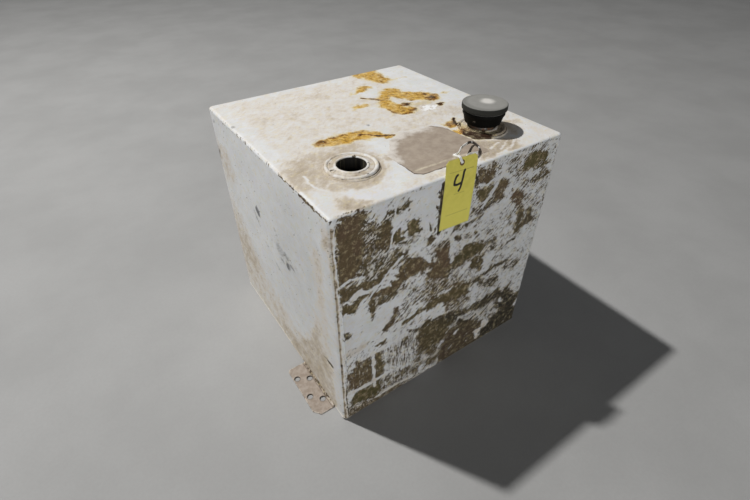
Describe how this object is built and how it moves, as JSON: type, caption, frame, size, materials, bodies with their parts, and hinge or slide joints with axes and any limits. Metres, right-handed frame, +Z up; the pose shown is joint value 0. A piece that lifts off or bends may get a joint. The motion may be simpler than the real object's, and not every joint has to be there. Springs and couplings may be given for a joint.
{
  "type": "portable steel box tank",
  "caption": "Small box-shaped steel liquid tank with round edges, a pump opening, a filler neck with a screw cap, bolt-down foot plates and a hanging card tag.",
  "frame": {"origin": "centre of the flat underside of the tank, where it rests on the floor", "axes": "+Z up, -Y towards the front wall with the tag, +X to the right when facing the front wall"},
  "size_m": [0.718, 0.6248, 0.6735],
  "materials": {
    "paint": "worn, dirty off-white paint over rusty steel",
    "weld": "painted weld bead with dirt",
    "foot": "painted plate under beige dust",
    "flange": "overpainted steel flange, dusty",
    "neck": "dull oily steel pipe",
    "cap_body": "black moulded plastic",
    "cap_disc": "dusty grey-black moulded plastic",
    "gasket": "black rubber",
    "label": "worn blank film label under dust",
    "tag": "yellow tag card",
    "eyelet": "brown fibre ring",
    "tie": "white plastic with dark grime"
  },
  "bodies": {
    "tank": {"left_wall": "paint", "right_wall": "paint", "front_wall": "paint", "rear_wall": "paint", "top_plate": "paint", "bottom_plate": "paint", "front_left_seam_weld": "weld", "front_right_seam_weld": "weld", "rear_left_seam_weld": "weld", "rear_right_seam_weld": "weld", "front_bottom_seam_weld": "weld", "rear_bottom_seam_weld": "weld", "left_foot": "foot", "left_foot_weld": "weld", "right_foot": "foot", "right_foot_weld": "weld", "pump_flange": "flange", "pump_flange_weld": "weld", "fill_flange": "flange", "fill_flange_weld": "weld", "fill_neck": "neck", "label": "label", "tag": "tag", "tag_eyelet": "eyelet", "tag_tie": "tie", "tag_tie_head": "tie"},
    "gasket": {"cap_gasket": "gasket"},
    "cap": {"cap_body": "cap_body", "cap_disc": "cap_disc"}
  },
  "joints": [
    {"name": "cap_lift", "type": "slide", "parent": "tank", "child": "gasket", "axis": [0, 0, 1], "range_m": [0, 0.08]},
    {"name": "cap_turn", "type": "hinge", "parent": "gasket", "child": "cap", "pos_m": [0.171, -0.1835, 0.65], "axis": [0, 0, 1], "range_deg": [0, 1620]}
  ]
}
